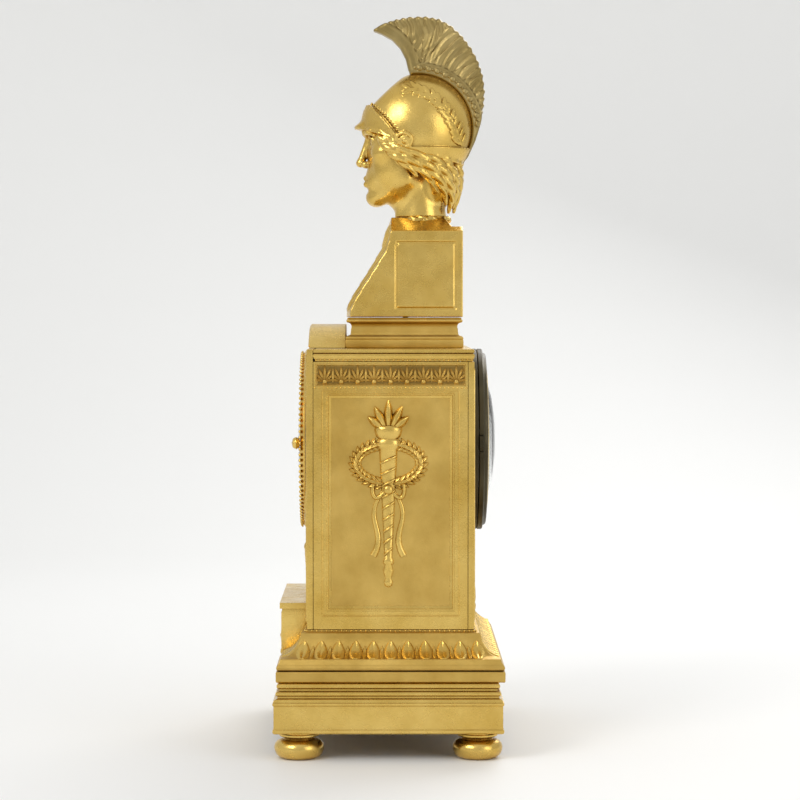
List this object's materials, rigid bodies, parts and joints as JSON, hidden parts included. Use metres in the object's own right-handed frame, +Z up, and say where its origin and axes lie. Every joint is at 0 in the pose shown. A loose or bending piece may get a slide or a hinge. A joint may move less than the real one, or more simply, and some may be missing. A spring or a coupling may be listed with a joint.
{
  "type": "mantel clock",
  "caption": "Gilt-bronze mantel clock: stepped base, rectangular case with glazed round dial, helmeted bust on top, and the spring-driven striking movement, pendulum and bell inside.",
  "frame": {"origin": "centre of the bounding box in plan, at the height of the surface that the feet stand on", "axes": "+Z up, the dial and the bust's face look along -Y, +X is to the right of someone who faces the dial"},
  "size_m": [0.24, 0.153, 0.5],
  "materials": {
    "gilt": "fire-gilt bronze, burnished and matt",
    "matte_gilt": "fire-gilt bronze, matt",
    "brass": "brushed brass",
    "steel": "polished steel",
    "blued_steel": "heat-blued steel",
    "dark_bronze": "dark patinated bronze",
    "bell_metal": "cast bell metal",
    "enamel": "white vitreous enamel on copper",
    "glass": "clear blown glass"
  },
  "bodies": {
    "case": {"foot_front_left": "gilt", "foot_front_right": "gilt", "foot_rear_left": "gilt", "foot_rear_right": "gilt", "plinth": "gilt", "front_block": "gilt", "case_front": "gilt", "case_back": "gilt", "case_side_left": "gilt", "case_side_right": "gilt", "case_top": "gilt", "front_pediment": "gilt", "side_mount_left": "gilt", "side_mount_right": "gilt", "front_mount": "gilt", "bust_socle": "gilt", "bust_chest": "gilt", "bust_head": "gilt", "helmet": "gilt", "bezel_seat_and_straps": "gilt", "base_moulding": "matte_gilt", "helmet_crest": "matte_gilt", "movement_front_plate": "brass", "movement_back_plate": "brass", "suspension_cock": "brass", "tie_rod_left": "steel", "tie_rod_right": "steel", "bust_bolt": "steel", "suspension_spring": "steel", "bell_stand": "steel", "rear_ring": "dark_bronze", "bell": "bell_metal", "dial_plate": "enamel"},
    "bezel_door": {"bezel_ring": "gilt", "bezel_glass": "glass", "bezel_knob": "gilt"},
    "rear_door": {"rear_door_ring": "dark_bronze", "rear_door_glass": "glass"},
    "minute_hand": {"cannon_pinion": "brass", "minute_hand": "blued_steel"},
    "centre_arbor": {"centre_arbor": "brass"},
    "hour_motion": {"hour_wheel": "brass", "hour_hand": "blued_steel"},
    "minute_motion": {"minute_wheel": "brass"},
    "third_wheel": {"third_wheel": "brass"},
    "escape_wheel": {"escape_wheel": "brass"},
    "intermediate_wheel": {"intermediate_wheel": "brass"},
    "going_barrel": {"going_barrel": "brass", "going_mainspring": "blued_steel"},
    "going_winding": {"going_winding_arbor": "steel"},
    "strike_wheel": {"strike_wheel": "brass", "count_wheel": "brass"},
    "strike_barrel": {"strike_barrel": "brass", "strike_mainspring": "blued_steel"},
    "strike_winding": {"strike_winding_arbor": "steel"},
    "fly": {"fly": "brass"},
    "hammer": {"hammer": "steel"},
    "anchor": {"anchor_and_crutch": "steel"},
    "pendulum": {"pendulum_rod": "steel", "pendulum_bob": "brass"}
  },
  "joints": [
    {"name": "bezel_hinge", "type": "hinge", "parent": "case", "child": "bezel_door", "pos_m": [-0.0639, -0.058, 0.206], "axis": [0, 0, -1], "range_deg": [0, 110]},
    {"name": "rear_door_hinge", "type": "hinge", "parent": "case", "child": "rear_door", "pos_m": [-0.0652, 0.0632, 0.206], "axis": [0, 0, 1], "range_deg": [0, 120]},
    {"name": "minute_hand_turn", "type": "hinge", "parent": "case", "child": "minute_hand", "pos_m": [0, -0.05, 0.206], "axis": [0, 1, 0], "continuous": true},
    {"name": "centre_turn", "type": "hinge", "parent": "case", "child": "centre_arbor", "pos_m": [0, -0.03, 0.206], "axis": [0, 1, 0], "continuous": true},
    {"name": "hour_turn", "type": "hinge", "parent": "case", "child": "hour_motion", "pos_m": [0, -0.043, 0.206], "axis": [0, 1, 0], "continuous": true},
    {"name": "minute_wheel_turn", "type": "hinge", "parent": "case", "child": "minute_motion", "pos_m": [0, -0.04, 0.218], "axis": [0, 1, 0], "continuous": true},
    {"name": "third_turn", "type": "hinge", "parent": "case", "child": "third_wheel", "pos_m": [-0.00698, -0.018, 0.22082], "axis": [0, 1, 0], "continuous": true},
    {"name": "escape_turn", "type": "hinge", "parent": "case", "child": "escape_wheel", "pos_m": [0, -0.018, 0.233], "axis": [0, 1, 0], "continuous": true},
    {"name": "intermediate_turn", "type": "hinge", "parent": "case", "child": "intermediate_wheel", "pos_m": [0.01529, -0.018, 0.21296], "axis": [0, 1, 0], "continuous": true},
    {"name": "going_barrel_turn", "type": "hinge", "parent": "case", "child": "going_barrel", "pos_m": [0.02, -0.014, 0.1925], "axis": [0, 1, 0], "continuous": true},
    {"name": "going_winding_turn", "type": "hinge", "parent": "case", "child": "going_winding", "pos_m": [0.02, -0.03, 0.1925], "axis": [0, 1, 0], "range_deg": [0, 1800]},
    {"name": "strike_turn", "type": "hinge", "parent": "case", "child": "strike_wheel", "pos_m": [-0.026, -0.028, 0.21262], "axis": [0, 1, 0], "continuous": true},
    {"name": "strike_barrel_turn", "type": "hinge", "parent": "case", "child": "strike_barrel", "pos_m": [-0.02, -0.014, 0.1925], "axis": [0, 1, 0], "continuous": true},
    {"name": "strike_winding_turn", "type": "hinge", "parent": "case", "child": "strike_winding", "pos_m": [-0.02, -0.03, 0.1925], "axis": [0, 1, 0], "range_deg": [0, 1800]},
    {"name": "fly_turn", "type": "hinge", "parent": "case", "child": "fly", "pos_m": [-0.02194, -0.01, 0.22379], "axis": [0, 1, 0], "continuous": true},
    {"name": "hammer_lift", "type": "hinge", "parent": "case", "child": "hammer", "pos_m": [0.036, 0.02, 0.212], "axis": [0, 1, 0], "range_deg": [0, 15]},
    {"name": "pendulum_swing", "type": "hinge", "parent": "case", "child": "pendulum", "pos_m": [0, 0.012, 0.244], "axis": [0, 1, 0], "range_deg": [-4, 4]},
    {"name": "anchor_swing", "type": "hinge", "parent": "case", "child": "anchor", "pos_m": [0, -0.01, 0.244], "axis": [0, 1, 0], "range_deg": [-4, 4]}
  ],
  "couplings": [
    {"joint": "hour_turn", "follows": "minute_hand_turn", "ratio": 0.083333},
    {"joint": "minute_wheel_turn", "follows": "minute_hand_turn", "ratio": -0.33333},
    {"joint": "third_turn", "follows": "escape_turn", "ratio": -0.083333},
    {"joint": "centre_turn", "follows": "escape_turn", "ratio": 0.0069444},
    {"joint": "intermediate_turn", "follows": "escape_turn", "ratio": -0.0013889},
    {"joint": "going_barrel_turn", "follows": "escape_turn", "ratio": 0.00023148},
    {"joint": "strike_turn", "follows": "fly_turn", "ratio": -0.1},
    {"joint": "strike_barrel_turn", "follows": "fly_turn", "ratio": 0.016667},
    {"joint": "anchor_swing", "follows": "pendulum_swing", "ratio": 1}
  ]
}
